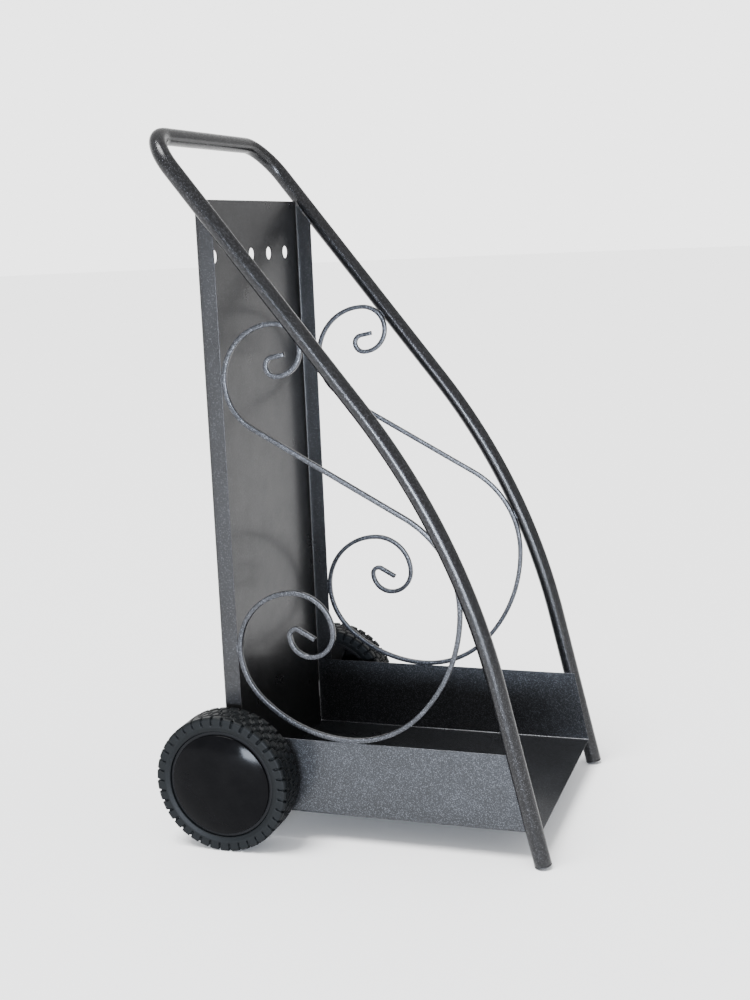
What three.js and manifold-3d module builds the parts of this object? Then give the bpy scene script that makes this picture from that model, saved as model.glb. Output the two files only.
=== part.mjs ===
// Fireside log cart: a bent tube handle with two feet, a folded back panel and tray, two iron
// scrolls and two wheels. Millimetres, +Z up. X runs across the cart, Y from the open front (-)
// to the back (+). While it is built, the wheel axle is at Y = 0 and the floor at Z = 0.
import * as THREE from 'three';
import { mergeVertices } from 'three/addons/utils/BufferGeometryUtils.js';
import Module from 'manifold-3d';

const wasm = await Module();
wasm.setup();
const DEGREE = Math.PI / 180;
const QUARTER = Math.PI / 2;

// ---- Driving dimensions ------------------------------------------------------------------
const SEAT = 0.3;                 // gap between pieces that touch, screw or are welded together
const RUN = 0.3;                  // running clearance of what turns
const SAG = 0.3;                  // how far a facet may leave its arc

// Folded sheet
const SHEET = 1.2;                // thickness of panel and tray
const BODY_WIDTH = 338;           // over the flanges and over the tray walls
const FOLD_R = 3;                 // outer radius of each fold
const FOLD_STEPS = 3;
const PANEL_BACK_Y = 13.5;        // rear face of the panel, behind the axle
const PANEL_TOP_DROP = 80;        // top edge of the panel below the hand bar's centre line
const FLANGE_DEPTH = 23.5;        // panel flanges, front to back
const FLANGE_BELOW_TUBE = 7;      // slanted flange end, below the centre line of the tube
const HOLE_COUNT = 5;
const HOLE_D = 17;
const HOLE_PITCH = 60;
const HOLE_DROP = 71;             // hole centres below the top edge of the panel
const HOLE_SIDES = 20;
const TRAY_UNDER_Z = 38;          // underside of the tray floor
const TRAY_WALL = 100;            // wall height, from the underside up
const TRAY_AHEAD = 3.6;           // front edge of the tray floor, ahead of the legs' centre lines
const TRAY_END_LEAN = 11 * DEGREE; // slant of the front edges of the tray walls

// Handle: one tube, foot to foot
const TUBE_D = 22;
const TUBE_WALL = 1.5;
const TUBE_SIDES = 16;
const FOOT_Y = -409.2;            // where the leg's centre line meets the floor
const LEG_LEAN = 13.1 * DEGREE;   // from upright, towards the back
const LEG_TOP_Z = 222.7;          // end of the straight leg, start of the long bend
const LONG_BEND_R = 897;
const TOP_LEAN = 37.73 * DEGREE;  // lean above the long bend
const TOP_LENGTH = 427;           // from the long bend up to the hand bar's centre line
const CORNER_R = 55;              // centre-line radius beside the hand bar
const CORNER_STEPS = 8;

// Foot plugs
const PLUG_RIM = 2;
const PLUG_SHANK = 14;
const PLUG_TAPER = 1.5;

// Scrolls: square bar, bent flat; radii of its centre line
const BAR = 6;
const SCROLL_EYE_R = 9;           // lower scroll: its inner hook
const SCROLL_EYE_SWEEP = 119 * DEGREE;
const SCROLL_TAIL = 24;           // straight end of the bar inside the lower scroll
const RING_Q1_R = 27;             // quarter turns, from the eye outwards
const RING_Q2_R = 32;
const RING_Q3_R = 51;
const RING_Q4_R = 78;
const RING_REAR_R = 90;           // eighth turns, from the panel flange forwards
const RING_UNDER_R = 169;
const RING_FORE_R = 130;
const RING_FRONT_R = 198;
const RING_TOP_R = 130;           // from there over the tube's long bend to the diagonal
const CURL_Q1_R = 68;             // upper curl, from the diagonal inwards
const CURL_Q2_R = 71;
const CURL_Q3_R = 32;
const CURL_Q4_R = 33;
const CURL_Q5_R = 13;
const CURL_EYE_R = 11;
const CURL_EYE_SWEEP = 79 * DEGREE;
const CURL_TAIL = 17;
const BEND_STEP = 15 * DEGREE;    // coarsest step of a bend

// Stub axles: turned pins with a flange, one welded to the outside of each tray wall
const AXLE_D = 12;
const AXLE_SIDES = 16;
const AXLE_CHAMFER = 1;
const STUB_FLANGE_D = 36;
const STUB_FLANGE = 3;
const SHOULDER_D = 20;
const SHOULDER = 5.3;             // from the flange to the inner washer
const LOCK_NUT = 12;
const LOCK_NUT_HEX = 18;          // across the flats
const THREAD_OUT = 1.9;           // pin end beyond the lock nut
const WASHER_D = 22;
const WASHER = 2.5;

// Wheels
const WHEEL_D = 180;
const TYRE_WIDTH = 46;
const TYRE_HEIGHT = 19;           // from its seat on the rim to the tread
const TREAD_WIDTH = 42;           // flat of the tread
const SIDE_DROP = 2.5;            // from the tread down to where the sidewall begins
const BEAD_INSET = 2;             // tyre edges at the rim, in from the tyre's width
const LUG_COUNT = 38;
const LUG_SHARE = 0.8;            // of the pitch that a lug fills
const NOTCH_LENGTH = 13;          // from the tread down the sidewall
const NOTCH_REACH = 8;            // how far the notches run over the tread
const NOTCH_DEPTH = 2.5;
const RIM_SIDES = 32;
const RIM_WIDTH = 38;
const RIM_WALL = 5;
const WEB = 6;
const HUB_D = 32;
const HUB_INNER = 21;             // hub end towards the cart, from the wheel's middle plane
const HUB_OUTER = 4.7;            // hub end away from the cart
const RIB_COUNT = 8;
const RIB = 2.5;
const RIB_SETBACK = 3;            // rib edges in from the rim's edge
const BUSH_WALL = 2.7;
const BUSH_FLANGE = 2;
const BUSH_FLANGE_D = 24;
const BUSH_SLEEVE = 10;

// Hub caps
const CAP_GAP = 4.5;              // between the cap's edge and the tyre's seat
const CAP_WALL = 2;
const CAP_EDGE = 3.7;             // height of the cap's edge above the rim
const CAP_CROWN = 8;              // height of the middle above the edge
const CAP_ROUND = 2.5;            // radius of the rounded edge
const CAP_SKIRT = 10;             // depth of the skirt in the rim
const CROWN_STEPS = 5;

// ---- What follows from them --------------------------------------------------------------
const HALF_BODY = BODY_WIDTH / 2;
const TUBE_R = TUBE_D / 2;
const TUBE_X = HALF_BODY + SEAT + TUBE_R;
const SCROLL_X = HALF_BODY - SHEET / 2;
const PANEL_FRONT_Y = PANEL_BACK_Y - SHEET;
const FLANGE_FRONT_Y = PANEL_BACK_Y - FLANGE_DEPTH;
const TRAY_TOP_Z = TRAY_UNDER_Z + TRAY_WALL;
const AXLE_R = AXLE_D / 2;
const WHEEL_R = WHEEL_D / 2;      // and the height of the wheel axle
const SEAT_R = WHEEL_R - TYRE_HEIGHT;

// The handle in side view, as points (y, z). The long bend's centre lies behind the leg.
const sideUp = (lean) => new THREE.Vector2(Math.sin(lean), Math.cos(lean));
const sideBack = (lean) => new THREE.Vector2(Math.cos(lean), -Math.sin(lean));
const legAt = (z) => new THREE.Vector2(FOOT_Y + z * Math.tan(LEG_LEAN), z);
const bendCentre = legAt(LEG_TOP_Z).addScaledVector(sideBack(LEG_LEAN), LONG_BEND_R);
const bendPoint = (lean) => bendCentre.clone().addScaledVector(sideBack(lean), -LONG_BEND_R);
const bendEnd = bendPoint(TOP_LEAN);
const PANEL_TOP_Z = bendEnd.y + TOP_LENGTH * Math.cos(TOP_LEAN) - PANEL_TOP_DROP;

// ---- Materials ---------------------------------------------------------------------------
function finish(color, roughness, metalness) {
  return new THREE.MeshStandardMaterial({ color, roughness, metalness });
}

const hammered = finish(0x4c4d52, 0.42, 0.75);
const forged = finish(0x6a6b70, 0.38, 0.8);
const plugBlack = finish(0x151517, 0.5, 0);
const rubberBlack = finish(0x1f2124, 0.8, 0);
const rimBlack = finish(0x19191b, 0.45, 0);
const capBlack = finish(0x0c0c0e, 0.15, 0);
const nylon = finish(0x2a2a2c, 0.6, 0);
const zinc = finish(0xb9bcc0, 0.35, 0.9);

// ---- Solids, booleans and meshes ---------------------------------------------------------
function solid(geometry) {
  const plain = geometry.clone();
  plain.deleteAttribute('normal');
  plain.deleteAttribute('uv');
  const merged = mergeVertices(plain, 1e-4);
  const vertProperties = new Float32Array(merged.attributes.position.array);
  const triVerts = new Uint32Array(merged.index.array);
  return new wasm.Manifold(new wasm.Mesh({ numProp: 3, vertProperties, triVerts }));
}

function geometryOf(manifold) {
  const mesh = manifold.getMesh();
  const geometry = new THREE.BufferGeometry();
  geometry.setAttribute('position', new THREE.BufferAttribute(new Float32Array(mesh.vertProperties), 3));
  geometry.setIndex(new THREE.BufferAttribute(new Uint32Array(mesh.triVerts), 1));
  return geometry;
}

function cut(body, ...tools) {
  return geometryOf(tools.reduce((left, tool) => left.subtract(solid(tool)), solid(body)));
}

function join(body, ...more) {
  return geometryOf(more.reduce((sum, piece) => sum.add(solid(piece)), solid(body)));
}

function part(parent, name, geometry, material) {
  const mesh = new THREE.Mesh(geometry, material);
  mesh.name = name;
  parent.add(mesh);
  return mesh;
}

// Corner points of a regular outline, the first one on the X axis.
function regular(radius, sides) {
  return Array.from({ length: sides }, (_, i) => {
    const angle = 2 * Math.PI * i / sides;
    return new THREE.Vector2(radius * Math.cos(angle), radius * Math.sin(angle));
  });
}

// A prism between the planes z0 and z1; the hole is optional.
function prism(outline, z0, z1, hole) {
  const shape = new THREE.Shape(outline);
  if (hole) shape.holes.push(new THREE.Path(hole));
  return new THREE.ExtrudeGeometry(shape, { depth: z1 - z0, bevelEnabled: false }).translate(0, 0, z0);
}

const box = (x0, y0, z0, x1, y1, z1) => new THREE.BoxGeometry(x1 - x0, y1 - y0, z1 - z0)
  .translate((x0 + x1) / 2, (y0 + y1) / 2, (z0 + z1) / 2);

// A turned piece about Z. Its outline is [radius, z] and runs round anticlockwise.
function turned(outline, sides) {
  const points = outline.map(([radius, z]) => new THREE.Vector2(radius, z));
  return new THREE.LatheGeometry(points, sides, QUARTER).rotateX(QUARTER);
}

// ---- Bars and tubes along a bent path ----------------------------------------------------
// A path that is given by its stations: points and directions where the section is set.
class StationPath extends THREE.Curve {
  constructor(stations) {
    super();
    this.stations = stations;
  }

  at(u) {
    return this.stations[Math.round(u * (this.stations.length - 1))];
  }

  getPointAt(u, target = new THREE.Vector3()) {
    return target.copy(this.at(u).point);
  }

  getTangentAt(u, target = new THREE.Vector3()) {
    return target.copy(this.at(u).direction);
  }
}

function sweep(shape, stations) {
  const extrudePath = new StationPath(stations);
  return new THREE.ExtrudeGeometry(shape, { steps: stations.length - 1, extrudePath, bevelEnabled: false });
}

// How many steps an arc needs so that its facets stay within SAG of it.
function arcSteps(radius, angle) {
  const step = Math.min(BEND_STEP, 2 * Math.acos(1 - SAG / radius));
  return Math.ceil(Math.abs(angle) / step);
}

// A pen that draws tangent lines and arcs in side view. Positive angles turn it to the left.
class Pen {
  constructor(point, heading) {
    this.point = point.clone();
    this.heading = heading;
    this.marks = [{ point: this.point.clone(), heading }];
  }

  left() {
    return new THREE.Vector2(-Math.sin(this.heading), Math.cos(this.heading));
  }

  mark() {
    this.marks.push({ point: this.point.clone(), heading: this.heading });
    return this;
  }

  line(length) {
    this.point.add(new THREE.Vector2(Math.cos(this.heading), Math.sin(this.heading)).multiplyScalar(length));
    return this.mark();
  }

  arc(radius, angle) {
    const steps = arcSteps(radius, angle);
    const side = Math.sign(angle) * radius;
    const centre = this.point.clone().addScaledVector(this.left(), side);
    for (let i = 0; i < steps; i += 1) {
      this.heading += angle / steps;
      this.point = centre.clone().addScaledVector(this.left(), -side);
      this.mark();
    }
    return this;
  }
}

const station = (x, mark) => ({
  point: new THREE.Vector3(x, mark.point.x, mark.point.y),
  direction: new THREE.Vector3(0, Math.cos(mark.heading), Math.sin(mark.heading)),
});

// ---- Folded sheet body -------------------------------------------------------------------
// A channel section: a sheet of the body's width with its sides folded up by `depth`.
function channel(depth) {
  const fold = (radius, first, last) => Array.from({ length: FOLD_STEPS + 1 }, (_, i) => {
    const angle = first + (last - first) * i / FOLD_STEPS;
    const centre = new THREE.Vector2(HALF_BODY - FOLD_R, FOLD_R);
    return centre.add(new THREE.Vector2(radius * Math.cos(angle), radius * Math.sin(angle)));
  });
  const half = [
    ...fold(FOLD_R, -QUARTER, 0),
    new THREE.Vector2(HALF_BODY, depth),
    new THREE.Vector2(HALF_BODY - SHEET, depth),
    ...fold(FOLD_R - SHEET, 0, -QUARTER),
  ];
  const other = half.map((p) => new THREE.Vector2(-p.x, p.y)).reverse();
  return new THREE.Shape([...half, ...other]);
}

// Cuts away everything on one side of a slanted line through `through`, seen from the side.
function sideWedge(through, lean, towards) {
  const up = sideUp(lean);
  const out = sideBack(lean).multiplyScalar(towards);
  const reach = 2 * PANEL_TOP_Z;
  const corner = (along, across) => through.clone().addScaledVector(up, along).addScaledVector(out, across);
  const outline = [corner(-reach, 0), corner(reach, 0), corner(reach, reach), corner(-reach, reach)];
  return prism(outline, -BODY_WIDTH, BODY_WIDTH).applyMatrix4(new THREE.Matrix4().makeBasis(
    new THREE.Vector3(0, 1, 0), new THREE.Vector3(0, 0, 1), new THREE.Vector3(1, 0, 0)));
}

function backPanel() {
  const height = PANEL_TOP_Z - TRAY_UNDER_Z;
  const sheet = new THREE.ExtrudeGeometry(channel(FLANGE_DEPTH), { depth: height, bevelEnabled: false })
    .rotateZ(Math.PI).translate(0, PANEL_BACK_Y, TRAY_UNDER_Z);
  const slant = bendEnd.clone().addScaledVector(sideBack(TOP_LEAN), FLANGE_BELOW_TUBE);
  const plate = box(-BODY_WIDTH, PANEL_FRONT_Y, 0, BODY_WIDTH, BODY_WIDTH, 2 * PANEL_TOP_Z);
  const topCut = cut(sideWedge(slant, TOP_LEAN, -1), plate);
  const trayCut = box(-BODY_WIDTH, -BODY_WIDTH, 0, BODY_WIDTH, PANEL_FRONT_Y, TRAY_TOP_Z + SEAT);
  const holes = Array.from({ length: HOLE_COUNT }, (_, i) => (
    prism(regular(HOLE_D / 2, HOLE_SIDES), FLANGE_FRONT_Y, PANEL_BACK_Y + SHEET)
      .rotateX(-QUARTER)
      .translate((i - (HOLE_COUNT - 1) / 2) * HOLE_PITCH, 0, PANEL_TOP_Z - HOLE_DROP)
  ));
  return cut(sheet, topCut, trayCut, ...holes);
}

function tray() {
  const rear = PANEL_FRONT_Y - SEAT;
  const front = legAt(TRAY_UNDER_Z).x - TRAY_AHEAD;
  const sheet = new THREE.ExtrudeGeometry(channel(TRAY_WALL), { depth: rear - front, bevelEnabled: false })
    .rotateX(QUARTER).translate(0, rear, TRAY_UNDER_Z);
  const slant = new THREE.Vector2(front, TRAY_UNDER_Z);
  return cut(sheet, sideWedge(slant, TRAY_END_LEAN, -1));
}

// ---- Handle ------------------------------------------------------------------------------
// Distance along the leg from the floor point to the plug's flat end, whose rear edge stands
// on the floor.
const plugStart = TUBE_R * Math.tan(LEG_LEAN);
const tubeStart = plugStart + PLUG_RIM + SEAT;

function handleStations() {
  const foot = legAt(0).addScaledVector(sideUp(LEG_LEAN), tubeStart);
  const pen = new Pen(foot, QUARTER - LEG_LEAN)
    .line(legAt(LEG_TOP_Z).distanceTo(foot))
    .arc(LONG_BEND_R, LEG_LEAN - TOP_LEAN)
    .line(TOP_LENGTH - CORNER_R);
  const leg = pen.marks.map((mark) => station(-TUBE_X, mark));
  const up = leg[leg.length - 1].direction;
  const across = new THREE.Vector3(1, 0, 0);
  const centre = leg[leg.length - 1].point.clone().addScaledVector(across, CORNER_R);
  const corner = Array.from({ length: CORNER_STEPS }, (_, i) => {
    const angle = QUARTER * (i + 1) / CORNER_STEPS;
    const out = across.clone().multiplyScalar(-Math.cos(angle)).addScaledVector(up, Math.sin(angle));
    return {
      point: centre.clone().addScaledVector(out, CORNER_R),
      direction: across.clone().multiplyScalar(Math.sin(angle)).addScaledVector(up, Math.cos(angle)),
    };
  });
  const half = [...leg, ...corner];
  const other = half.map(({ point, direction }) => ({
    point: new THREE.Vector3(-point.x, point.y, point.z),
    direction: new THREE.Vector3(direction.x, -direction.y, -direction.z),
  })).reverse();
  return [...half, ...other];
}

function handleTube() {
  const section = new THREE.Shape(regular(TUBE_R, TUBE_SIDES));
  section.holes.push(new THREE.Path(regular(TUBE_R - TUBE_WALL, TUBE_SIDES)));
  return sweep(section, handleStations());
}

function footPlug() {
  const shank = TUBE_R - TUBE_WALL - SEAT;
  return turned([
    [0, 0],
    [TUBE_R, 0],
    [TUBE_R, PLUG_RIM],
    [shank, PLUG_RIM],
    [shank, PLUG_RIM + PLUG_SHANK - PLUG_TAPER],
    [shank - PLUG_TAPER, PLUG_RIM + PLUG_SHANK],
    [0, PLUG_RIM + PLUG_SHANK],
  ], TUBE_SIDES);
}

// ---- Scrolls -----------------------------------------------------------------------------
// The bar's centre line in side view. It rests on the tray wall, touches the panel flange twice
// and the tube twice. The ring keeps its form and takes the size at which it touches the long
// bend; the upper curl takes the height at which it touches the straight tube.
function scrollMarks() {
  const half = BAR / 2;
  const rearY = FLANGE_FRONT_Y - SEAT - half;
  const restZ = TRAY_TOP_Z + SEAT + half;
  const aside = TUBE_X - SCROLL_X - half;
  const toTube = Math.sqrt((TUBE_R + SEAT) ** 2 - aside ** 2) + half;
  const eighth = QUARTER / 2;
  const share = Math.cos(eighth);
  const rearRise = RING_REAR_R * share + RING_UNDER_R * (1 - share);
  const ringFrom = (rear, size) => new Pen(rear, -QUARTER)
    .arc(size * RING_REAR_R, -eighth)
    .arc(size * RING_UNDER_R, -eighth)
    .arc(size * RING_FORE_R, -eighth)
    .arc(size * RING_FRONT_R, -eighth);

  // The centre of the ring's top arc lies at corner + size * toCentre, and as far from the long
  // bend's centre as the bar's line along that bend, less the arc's own radius.
  const corner = new THREE.Vector2(rearY, restZ).sub(bendCentre);
  const drawn = ringFrom(new THREE.Vector2(0, rearRise), 1);
  const toCentre = drawn.point.clone().addScaledVector(drawn.left(), -RING_TOP_R);
  const offsetR = LONG_BEND_R - toTube;
  const squared = toCentre.lengthSq() - RING_TOP_R ** 2;
  const linear = corner.dot(toCentre) + offsetR * RING_TOP_R;
  const constant = corner.lengthSq() - offsetR ** 2;
  const size = (Math.sqrt(linear ** 2 - squared * constant) - linear) / squared;
  const topR = size * RING_TOP_R;
  const topCentre = corner.clone().add(bendCentre).addScaledVector(toCentre, size);

  const rear = new THREE.Vector2(rearY, restZ + size * rearRise);
  const outer = ringFrom(rear, size);
  const inner = new Pen(rear, QUARTER)
    .arc(size * RING_Q4_R, QUARTER)
    .arc(size * RING_Q3_R, QUARTER)
    .arc(size * RING_Q2_R, QUARTER)
    .arc(size * RING_Q1_R, QUARTER)
    .arc(SCROLL_EYE_R, SCROLL_EYE_SWEEP)
    .line(SCROLL_TAIL);

  // Upper curl: its third quarter touches the straight tube.
  const slope = sideBack(TOP_LEAN);
  const reach = CURL_Q3_R + toTube - (rearY - CURL_Q2_R - bendEnd.x) * slope.x;
  const curlZ = bendEnd.y + reach / slope.y - CURL_Q2_R + CURL_Q3_R;
  const curlCentre = new THREE.Vector2(rearY - CURL_Q1_R, curlZ);

  // The diagonal is the line that touches both circles from opposite sides.
  const across = curlCentre.clone().sub(topCentre);
  const diagonal = across.angle() - Math.asin((topR + CURL_Q1_R) / across.length());
  const length = Math.sqrt(across.lengthSq() - (topR + CURL_Q1_R) ** 2);
  outer
    .arc(topR, diagonal - outer.heading - 2 * Math.PI)
    .line(length)
    .arc(CURL_Q1_R, QUARTER - diagonal)
    .arc(CURL_Q2_R, QUARTER)
    .arc(CURL_Q3_R, QUARTER)
    .arc(CURL_Q4_R, QUARTER)
    .arc(CURL_Q5_R, QUARTER)
    .arc(CURL_EYE_R, CURL_EYE_SWEEP)
    .line(CURL_TAIL);

  const inwards = inner.marks.slice(1).reverse();
  return [...inwards.map(({ point, heading }) => ({ point, heading: heading + Math.PI })), ...outer.marks];
}

function scroll(x) {
  const half = BAR / 2;
  const corners = [[-half, -half], [half, -half], [half, half], [-half, half]];
  const section = new THREE.Shape(corners.map(([across, along]) => new THREE.Vector2(across, along)));
  return sweep(section, scrollMarks().map((mark) => station(x, mark)));
}

// ---- Wheels and stub axles, along Z, from the cart's middle plane outwards -----------------
const stubZ = HALF_BODY + SEAT;
const shoulderEndZ = stubZ + STUB_FLANGE + SHOULDER;
const innerWasherZ = shoulderEndZ + SEAT;
const innerBushZ = innerWasherZ + WASHER + RUN;
const hubZ = innerBushZ + BUSH_FLANGE + SEAT;
const wheelZ = hubZ + HUB_INNER;
const hubEndZ = wheelZ + HUB_OUTER;
const outerBushZ = hubEndZ + SEAT;
const outerWasherZ = outerBushZ + BUSH_FLANGE + RUN;
const lockNutZ = outerWasherZ + WASHER + SEAT;
const stubEndZ = lockNutZ + LOCK_NUT + THREAD_OUT;
const bushR = AXLE_R + RUN + BUSH_WALL;
const rimR = SEAT_R - SEAT;
const rimEndZ = wheelZ + RIM_WIDTH / 2;

function axleStub() {
  return turned([
    [0, stubZ],
    [STUB_FLANGE_D / 2, stubZ],
    [STUB_FLANGE_D / 2, stubZ + STUB_FLANGE],
    [SHOULDER_D / 2, stubZ + STUB_FLANGE],
    [SHOULDER_D / 2, shoulderEndZ],
    [AXLE_R, shoulderEndZ],
    [AXLE_R, stubEndZ - AXLE_CHAMFER],
    [AXLE_R - AXLE_CHAMFER, stubEndZ],
    [0, stubEndZ],
  ], AXLE_SIDES);
}

function lockNut() {
  const hexagon = regular(LOCK_NUT_HEX / 2 / Math.cos(30 * DEGREE), 6);
  return prism(hexagon, lockNutZ, lockNutZ + LOCK_NUT, regular(AXLE_R + SEAT, AXLE_SIDES));
}

function washer(z) {
  const inside = AXLE_R + SEAT;
  const outside = WASHER_D / 2;
  return turned([
    [inside, z],
    [outside, z],
    [outside, z + WASHER],
    [inside, z + WASHER],
    [inside, z],
  ], AXLE_SIDES);
}

// A flanged bush; `towards` is the way its sleeve points.
function bush(z, towards) {
  const flange = z + towards * BUSH_FLANGE;
  const sleeve = flange + towards * BUSH_SLEEVE;
  const bore = AXLE_R + RUN;
  const outline = [
    [bore, z],
    [BUSH_FLANGE_D / 2, z],
    [BUSH_FLANGE_D / 2, flange],
    [bushR, flange],
    [bushR, sleeve],
    [bore, sleeve],
    [bore, z],
  ];
  return turned(towards > 0 ? outline : outline.reverse(), AXLE_SIDES);
}

function wheelRim() {
  const half = RIM_WIDTH / 2;
  const inside = rimR - RIM_WALL;
  const hub = HUB_D / 2;
  const bore = bushR + SEAT;
  const body = turned([
    [bore, hubZ],
    [hub, hubZ],
    [hub, wheelZ - WEB / 2],
    [inside, wheelZ - WEB / 2],
    [inside, wheelZ - half],
    [rimR, wheelZ - half],
    [rimR, wheelZ + half],
    [inside, wheelZ + half],
    [inside, wheelZ + WEB / 2],
    [hub, wheelZ + WEB / 2],
    [hub, hubEndZ],
    [bore, hubEndZ],
    [bore, hubZ],
  ], RIM_SIDES);
  const middle = (bore + hub) / 2;
  const ribs = Array.from({ length: RIB_COUNT }, (_, i) => (
    box(middle, -RIB / 2, wheelZ - half + RIB_SETBACK, inside + RIM_WALL / 2, RIB / 2, wheelZ)
      .rotateZ((i + 0.5) * 2 * Math.PI / RIB_COUNT)
  ));
  return join(body, ...ribs);
}

// The tyre's outline at an angle: lugs stand between notches that cut both shoulders. A lug
// begins on the X axis and ends after LUG_SHARE of the pitch.
function tyre() {
  const half = TYRE_WIDTH / 2;
  const outline = (notch) => {
    const side = [
      [SEAT_R, half - BEAD_INSET],
      [WHEEL_R - NOTCH_LENGTH, half],
      [WHEEL_R - SIDE_DROP - notch, half - notch],
      [WHEEL_R - notch, TREAD_WIDTH / 2 - notch],
      [WHEEL_R, TREAD_WIDTH / 2 - NOTCH_REACH],
    ];
    return [...side.map(([radius, z]) => [radius, -z]), ...side.reverse()];
  };
  const pitch = 2 * Math.PI / LUG_COUNT;
  const rows = Array.from({ length: 2 * LUG_COUNT }, (_, i) => {
    const odd = i % 2;
    const angle = (i - odd) / 2 * pitch + odd * LUG_SHARE * pitch;
    const place = ([radius, z]) => [radius * Math.cos(angle), radius * Math.sin(angle), wheelZ + z];
    return outline(odd * NOTCH_DEPTH).map(place);
  });
  const count = rows[0].length;
  const index = [];
  for (let i = 0; i < rows.length; i += 1) {
    const next = (i + 1) % rows.length;
    for (let j = 0; j < count; j += 1) {
      const above = (j + 1) % count;
      const [a, b, c, d] = [i * count + j, next * count + j, next * count + above, i * count + above];
      index.push(a, b, c, a, c, d);
    }
  }
  const geometry = new THREE.BufferGeometry();
  geometry.setAttribute('position', new THREE.Float32BufferAttribute(rows.flat(2), 3));
  geometry.setIndex(index);
  return geometry;
}

function hubCap() {
  const outside = SEAT_R - CAP_GAP;
  const skirt = rimR - RIM_WALL - SEAT;
  const seat = rimEndZ + SEAT;
  const edge = seat + CAP_EDGE;
  // A crown of the given rim radius and rise, as an arc that is level at the axis.
  const crown = (radius, rise, z) => {
    const ball = (radius ** 2 + rise ** 2) / (2 * rise);
    const half = Math.asin(radius / ball);
    return Array.from({ length: CROWN_STEPS + 1 }, (_, i) => {
      const angle = half * (1 - i / CROWN_STEPS);
      return [i < CROWN_STEPS ? ball * Math.sin(angle) : 0, z + rise - ball * (1 - Math.cos(angle))];
    });
  };
  return turned([
    ...crown(skirt - CAP_WALL, CAP_CROWN, edge - CAP_WALL).reverse(),
    [skirt - CAP_WALL, seat - CAP_SKIRT],
    [skirt, seat - CAP_SKIRT],
    [skirt, seat],
    [outside, seat],
    [outside, edge - CAP_ROUND],
    ...crown(outside - CAP_ROUND, CAP_CROWN, edge),
  ], RIM_SIDES);
}

// ---- The cart ----------------------------------------------------------------------------
const cart = new THREE.Group();
part(cart, 'handle_tube', handleTube(), hammered);
part(cart, 'back_panel', backPanel(), hammered);
part(cart, 'tray', tray(), hammered);

for (const [name, side] of [['left', -1], ['right', 1]]) {
  part(cart, `scroll_${name}`, scroll(side * SCROLL_X), forged);

  const foot = legAt(0).addScaledVector(sideUp(LEG_LEAN), plugStart);
  const plug = part(cart, `foot_plug_${name}`, footPlug(), plugBlack);
  plug.rotation.x = -LEG_LEAN;
  plug.position.set(side * TUBE_X, foot.x, foot.y);

  const axle = new THREE.Group();
  axle.rotation.y = side * QUARTER;
  axle.position.z = WHEEL_R;
  cart.add(axle);
  part(axle, `axle_stub_${name}`, axleStub(), hammered);
  part(axle, `inner_washer_${name}`, washer(innerWasherZ), zinc);
  part(axle, `inner_bush_${name}`, bush(innerBushZ, 1), nylon);
  part(axle, `wheel_rim_${name}`, wheelRim(), rimBlack);
  part(axle, `tyre_${name}`, tyre(), rubberBlack);
  part(axle, `outer_bush_${name}`, bush(outerBushZ + BUSH_FLANGE, -1), nylon);
  part(axle, `outer_washer_${name}`, washer(outerWasherZ), zinc);
  part(axle, `lock_nut_${name}`, lockNut(), zinc);
  part(axle, `hub_cap_${name}`, hubCap(), capBlack);
}

// The origin is on the floor, midway between the front of the feet and the back of the wheels.
const frontY = FOOT_Y - TUBE_R * Math.cos(LEG_LEAN) + plugStart * Math.sin(LEG_LEAN);
cart.position.y = -(frontY + WHEEL_R) / 2;

export default cart;
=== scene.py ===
# %% [markdown]
# # Fireside log cart
# A cart for firewood: a bent tube handle, a folded panel and tray, two scrolls of square bar and
# two wheels. The CAD model could be given finishes as it is, but its tube has flats and its tyre
# no tread. So it is loaded first and never moved, and every piece below is a finer skin for one
# of its nodes. Lengths are written in millimetres, as on a drawing, and turned to metres when a
# mesh is made.

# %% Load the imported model
import math

import bmesh
import bpy
import numpy as np
from mathutils import Matrix, Vector


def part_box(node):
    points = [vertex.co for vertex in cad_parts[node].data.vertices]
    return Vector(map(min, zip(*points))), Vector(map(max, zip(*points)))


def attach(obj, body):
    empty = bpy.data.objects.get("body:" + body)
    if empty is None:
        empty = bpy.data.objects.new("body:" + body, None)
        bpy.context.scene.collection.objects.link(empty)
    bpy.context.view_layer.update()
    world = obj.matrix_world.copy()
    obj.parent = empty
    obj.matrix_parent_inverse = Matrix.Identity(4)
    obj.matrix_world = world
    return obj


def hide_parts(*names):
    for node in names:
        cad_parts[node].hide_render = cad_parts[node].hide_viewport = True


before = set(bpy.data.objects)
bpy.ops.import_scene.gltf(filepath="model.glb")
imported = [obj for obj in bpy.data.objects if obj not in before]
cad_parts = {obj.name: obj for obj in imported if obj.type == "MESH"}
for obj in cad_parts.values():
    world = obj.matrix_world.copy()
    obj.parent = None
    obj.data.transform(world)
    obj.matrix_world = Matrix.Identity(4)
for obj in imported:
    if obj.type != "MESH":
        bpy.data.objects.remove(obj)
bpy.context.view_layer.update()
MM = 0.001  # metres in a millimetre
low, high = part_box("tyre_left")
AXLE_Y = (low.y + high.y) / 2 / MM
AXLE_Z = (low.z + high.z) / 2 / MM
print("nodes", len(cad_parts), "axle at y, z in mm", round(AXLE_Y, 2), round(AXLE_Z, 2))

# %% [markdown]
# ## Sizes
# The sizes could be measured off the loaded nodes, but a drawing's own numbers are easier to read
# and to change. They are the same as in the CAD source, so that each skin lies on its solid. In
# side view a point is (y, z), with y = 0 at the wheel axle and z = 0 on the floor.

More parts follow.
